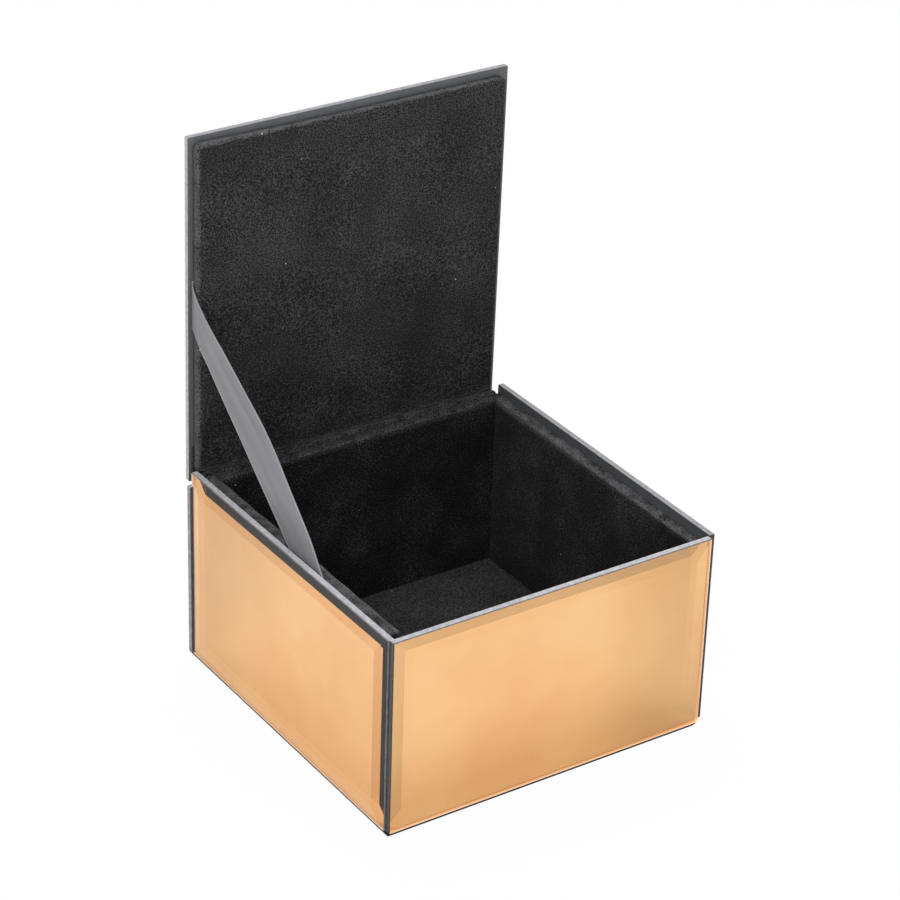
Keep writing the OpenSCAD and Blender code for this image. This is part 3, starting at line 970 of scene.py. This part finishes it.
ribbon = {
    "width": satin["width"], "thickness": 0.3 * mm, "acrossCells": 14, "cell": 1.0 * mm,
    "boxY": -11 * mm, "boxTail": 15 * mm, "lidTail": 16 * mm, "reach": 60 * mm,
    "offBoard": 0.2 * mm, "besidePad": 0.4 * mm, "underLid": 0.2 * mm,
    "bend": (-0.25, 0.8),   # shares of the free length
    # how far the upper edge bows in, and both edges sag, along the free length (share, mm)
    "bow": [(0, 0), (0.08, 0.65), (0.13, 1.4), (0.2, 1.75), (0.3, 2.0), (0.4, 2.45), (0.47, 2.6),
            (0.55, 2.2), (0.63, 1.4), (0.71, 0.7), (0.79, 0), (0.85, 0), (1, 0)],
    "upperSag": [(0, 0), (0.78, 0.1), (0.84, 1.4), (0.9, 2.5), (0.955, 2.6), (0.975, 2.0), (1, 0)],
    "lowerSag": [(0, -0.6), (0.1, -0.55), (0.26, -0.13), (0.39, 0.2), (0.52, 0.3), (0.62, 0.66),
                 (0.78, 1.0), (0.86, 0.9), (1, 0.2)],
    "soften": 0.03,   # share over which the corners of those lines are rounded
    "crease": {"low": 0.90, "high": 0.985, "raise": 0.3, "reach": 0.06},
}


def onCurve(points, t):
    # Value at t of a line through points
    for (a, low), (b, high) in zip(points, points[1:]):
        if t <= b:
            return low + (high - low) * (t - a) / (b - a)
    return points[-1][1]


def softened(points, t):
    # The same with its corners rounded
    reach = min(ribbon["soften"], t, 1 - t)
    return sum(onCurve(points, t + reach * k / 2) for k in (-2, -1, 0, 1, 2)) / 5


def creaseRaise(t, share):
    # The diagonal crease beside the lid stands out towards the left
    crease = ribbon["crease"]
    at = crease["low"] + (crease["high"] - crease["low"]) * share
    reach = crease["reach"] if t < at else 1 - at
    return crease["raise"] * max(0, 1 - abs(t - at) / reach)


def ribbonRows():
    # Rows of points across the ribbon, from its glued end in the box to the one on the lid
    glassLow = shutBox("lid_glass")[0]
    padLow = shutBox("lid_velvet")[0]
    liningLow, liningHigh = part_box("left_velvet")
    wallX = liningLow.x + ribbon["offBoard"]
    liningTop = liningHigh.z
    crease = opening @ Vector((padLow.x - ribbon["besidePad"], hingePoint.y - ribbon["reach"],
                               glassLow.z - ribbon["underLid"]))
    pitch = math.atan2(crease.z - liningTop, crease.y - ribbon["boxY"])
    exitHalf = ribbon["width"] / 2 / math.sin(pitch)
    creaseHalf = ribbon["width"] / 2 / math.cos(pitch)
    down = Vector((0, -math.cos(pitch), -math.sin(pitch))) * ribbon["boxTail"]
    slant = opening.to_3x3() @ Vector((math.cos(pitch), -math.sin(pitch), 0)) * ribbon["lidTail"]
    lowStart = Vector((wallX, ribbon["boxY"] + exitHalf, liningTop))
    highStart = Vector((wallX, ribbon["boxY"] - exitHalf, liningTop))
    lowEnd = crease - Vector((0, 0, creaseHalf))
    highEnd = crease + Vector((0, 0, creaseHalf))
    shares = [i / ribbon["acrossCells"] for i in range(ribbon["acrossCells"] + 1)]

    steps = math.ceil(ribbon["boxTail"] / ribbon["cell"])
    rows = [[lowStart.lerp(highStart, s) + down * i / steps for s in shares]
            for i in range(steps, 0, -1)]
    start = (lowStart + highStart) / 2
    steps = math.ceil((crease - start).length / ribbon["cell"])
    for i in range(steps + 1):
        t = i / steps
        low = lowStart.lerp(lowEnd, t) - Vector((0, 0, softened(ribbon["lowerSag"], t) * mm))
        high = (highStart.lerp(highEnd, t) + Vector((softened(ribbon["bow"], t) * mm, 0, 0))
                - Vector((0, 0, softened(ribbon["upperSag"], t) * mm)))
        rows.append([low.lerp(high, s) - Vector((creaseRaise(t, s) * mm, 0, 0)) for s in shares])
    steps = math.ceil(ribbon["lidTail"] / ribbon["cell"])
    rows += [[lowEnd.lerp(highEnd, s) + slant * i / steps for s in shares]
             for i in range(1, steps + 1)]
    return rows, pitch, start, crease


def addRibbon():
    rows, pitch, start, crease = ribbonRows()
    width, across = ribbon["width"], ribbon["acrossCells"]
    strip = startPiece("ribbon_stay_satin", bpy.ops.mesh.primitive_grid_add,
                       x_subdivisions=across, y_subdivisions=len(rows) - 1, size=1)
    levels = sorted({round(v.co.y, 6) for v in strip.data.vertices})
    rowOf = {y: i for i, y in enumerate(levels)}
    middle = [row[len(row) // 2] for row in rows]
    run = [0.0]
    for a, b in zip(middle, middle[1:]):
        run.append(run[-1] + (b - a).length)
    weave = {}   # place of each point on the flat ribbon, whose rows are slanted
    for vertex in strip.data.vertices:
        i = rowOf[round(vertex.co.y, 6)]
        share = vertex.co.x + 0.5
        weave[vertex.index] = (share * width, run[i] + (share - 0.5) * width / math.tan(pitch))
        vertex.co = rows[i][round(share * across)]
    layer = strip.data.uv_layers.get("weave") or strip.data.uv_layers.new(name="weave")
    for loop in strip.data.loops:
        layer.data[loop.index].uv = weave[loop.vertex_index]
    strip.data.update()
    thicken(strip, ribbon["thickness"], offset=0.0)
    coverWith(strip, ribbonSatin)
    settle(strip)
    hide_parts("ribbon_stay")
    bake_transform(strip)


addRibbon()
print("ribbon made")


# Boards, which are the CAD's own

for name in ("base_board", "front_board", "back_board", "left_board", "right_board", "lid_board"):
    board = frame["nodes"][name]
    board.data.materials.clear()
    board.data.materials.append(greyBoard)
print("boards finished")
